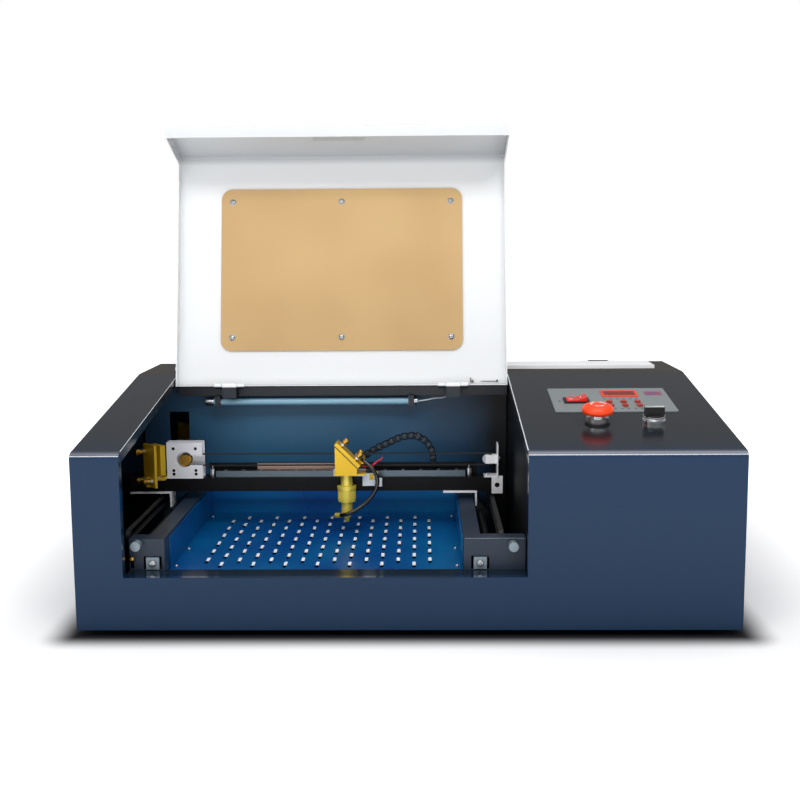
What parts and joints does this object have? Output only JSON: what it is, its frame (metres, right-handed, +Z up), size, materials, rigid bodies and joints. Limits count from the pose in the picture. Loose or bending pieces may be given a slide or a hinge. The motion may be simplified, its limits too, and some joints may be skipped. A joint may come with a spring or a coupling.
{
  "type": "desktop laser cutter",
  "caption": "Desktop laser cutter: sloped steel case, hinged white lid, perforated bed, belt-driven gantry, mirror head and side control panel.",
  "frame": {"origin": "middle of the footprint's box, on the surface that the feet stand on", "axes": "+X to the right seen from the front, +Y to the back, +Z up"},
  "size_m": [0.8, 0.538, 0.6307],
  "materials": {
    "case_paint": "textured navy-grey powder coat",
    "lid_paint": "smooth white powder coat",
    "bed_film": "glossy blue protective film on sheet steel",
    "window_paper": "kraft masking paper on acrylic",
    "steel": "brushed",
    "plated": "white zinc-plated sheet",
    "black_metal": "black anodised",
    "gold": "gold anodised",
    "brass": "turned",
    "black_plastic": "moulded",
    "white_plastic": "moulded",
    "rubber": "moulded",
    "lamp": "frosted tube",
    "tube_glass": "clear",
    "label": "printed film",
    "red_plastic": "moulded",
    "red_button": "moulded",
    "chrome": "polished"
  },
  "bodies": {
    "case": {"case_shell": "case_paint", "side_panel_left": "case_paint", "side_panel_right": "case_paint", "back_panel": "case_paint", "base_pan": "case_paint", "feet": "rubber", "chamber_back_wall": "case_paint", "bay_wall": "case_paint", "bed_plate": "bed_film", "channel_left": "case_paint", "channel_right": "case_paint", "door_catches": "steel", "lid_hinge_rail": "case_paint", "lamp_tube": "lamp", "y_rods": "steel", "y_motor": "black_metal", "y_belts": "rubber", "laser_tube": "tube_glass", "tube_cradles": "black_plastic", "corner_mirror": "gold", "electronics": "plated", "control_label": "label", "estop_base": "chrome", "selector_base": "chrome", "rocker_frame": "black_plastic", "mains_inlet": "black_plastic", "fan_housing": "black_plastic", "water_fittings": "brass"},
    "lid": {"lid_shell": "lid_paint", "lid_window": "window_paper", "lid_handle": "steel"},
    "hatch": {"rear_hatch": "lid_paint"},
    "y_shaft": {"y_shaft": "steel"},
    "y_idlers": {"y_idlers": "steel"},
    "gantry": {"gantry_beam": "black_metal", "x_rail": "steel", "gantry_plates": "plated", "x_motor": "black_metal", "x_belt": "rubber", "gantry_bearings": "plated", "side_mirror": "gold"},
    "x_pulley": {"x_pulley": "brass"},
    "x_idler": {"x_idler": "steel"},
    "head": {"head_body": "gold", "x_carriage": "steel", "limit_switch": "white_plastic", "drag_chain": "black_plastic"},
    "lens": {"lens_tube": "gold", "air_hose": "rubber"},
    "estop_stem": {"estop_stem": "red_plastic"},
    "estop_cap": {"estop_cap": "red_plastic"},
    "selector": {"selector_knob": "black_plastic"},
    "rocker": {"rocker_key": "red_plastic"},
    "fan": {"fan_impeller": "black_plastic"},
    "button_1": {"button_1": "red_button"},
    "button_2": {"button_2": "red_button"},
    "button_3": {"button_3": "red_button"},
    "button_4": {"button_4": "red_button"},
    "button_5": {"button_5": "red_button"},
    "button_6": {"button_6": "red_button"}
  },
  "joints": [
    {"name": "lid_hinge", "type": "hinge", "parent": "case", "child": "lid", "pos_m": [0, 0.056, 0.263], "axis": [1, 0, 0], "range_deg": [0, 110.6]},
    {"name": "hatch_hinge", "type": "hinge", "parent": "case", "child": "hatch", "pos_m": [0, 0.192, 0.2815], "axis": [1, 0, 0], "range_deg": [-100, 0]},
    {"name": "gantry_y", "type": "slide", "parent": "case", "child": "gantry", "axis": [0, 1, 0], "range_m": [-0.18, 0.035]},
    {"name": "head_x", "type": "slide", "parent": "gantry", "child": "head", "axis": [1, 0, 0], "range_m": [-0.155, 0.12], "deforming": ["drag_chain"]},
    {"name": "x_pulley_spin", "type": "hinge", "parent": "gantry", "child": "x_pulley", "pos_m": [-0.315, -0.016, 0.168], "axis": [0, 1, 0], "continuous": true},
    {"name": "x_idler_spin", "type": "hinge", "parent": "gantry", "child": "x_idler", "pos_m": [0.109, -0.016, 0.168], "axis": [0, 1, 0], "continuous": true},
    {"name": "y_shaft_spin", "type": "hinge", "parent": "case", "child": "y_shaft", "pos_m": [0, 0.071, 0.109], "axis": [1, 0, 0], "continuous": true},
    {"name": "y_idler_spin", "type": "hinge", "parent": "case", "child": "y_idlers", "pos_m": [0, -0.203, 0.109], "axis": [1, 0, 0], "continuous": true},
    {"name": "lens_focus", "type": "slide", "parent": "head", "child": "lens", "axis": [0, 0, 1], "range_m": [-0.006, 0.003], "deforming": ["air_hose"]},
    {"name": "estop_push", "type": "slide", "parent": "case", "child": "estop_stem", "axis": [0, -0.1504, 0.9886], "range_m": [-0.005, 0]},
    {"name": "estop_twist", "type": "hinge", "parent": "estop_stem", "child": "estop_cap", "pos_m": [0.2395, -0.16, 0.26081], "axis": [0, -0.1504, 0.9886], "range_deg": [0, 45]},
    {"name": "selector_turn", "type": "hinge", "parent": "case", "child": "selector", "pos_m": [0.3114, -0.15369, 0.2466], "axis": [0, -0.1504, 0.9886], "range_deg": [0, 90]},
    {"name": "rocker_tilt", "type": "hinge", "parent": "case", "child": "rocker", "pos_m": [0.225, -0.06513, 0.25622], "axis": [0, 0.9886, 0.1504], "range_deg": [0, 15]},
    {"name": "fan_spin", "type": "hinge", "parent": "case", "child": "fan", "pos_m": [-0.08, 0.249, 0.093], "axis": [0, 1, 0], "continuous": true},
    {"name": "button_1_press", "type": "slide", "parent": "case", "child": "button_1", "axis": [0, -0.1504, 0.9886], "range_m": [-0.0015, 0], "stiffness_N_per_m": 200},
    {"name": "button_2_press", "type": "slide", "parent": "case", "child": "button_2", "axis": [0, -0.1504, 0.9886], "range_m": [-0.0015, 0], "stiffness_N_per_m": 200},
    {"name": "button_3_press", "type": "slide", "parent": "case", "child": "button_3", "axis": [0, -0.1504, 0.9886], "range_m": [-0.0015, 0], "stiffness_N_per_m": 200},
    {"name": "button_4_press", "type": "slide", "parent": "case", "child": "button_4", "axis": [0, -0.1504, 0.9886], "range_m": [-0.0015, 0], "stiffness_N_per_m": 200},
    {"name": "button_5_press", "type": "slide", "parent": "case", "child": "button_5", "axis": [0, -0.1504, 0.9886], "range_m": [-0.0015, 0], "stiffness_N_per_m": 200},
    {"name": "button_6_press", "type": "slide", "parent": "case", "child": "button_6", "axis": [0, -0.1504, 0.9886], "range_m": [-0.0015, 0], "stiffness_N_per_m": 200}
  ],
  "couplings": [
    {"joint": "x_pulley_spin", "follows": "head_x", "rad_per_m": 125},
    {"joint": "x_idler_spin", "follows": "head_x", "rad_per_m": 125},
    {"joint": "y_shaft_spin", "follows": "gantry_y", "rad_per_m": -166.67},
    {"joint": "y_idler_spin", "follows": "gantry_y", "rad_per_m": -166.67}
  ]
}
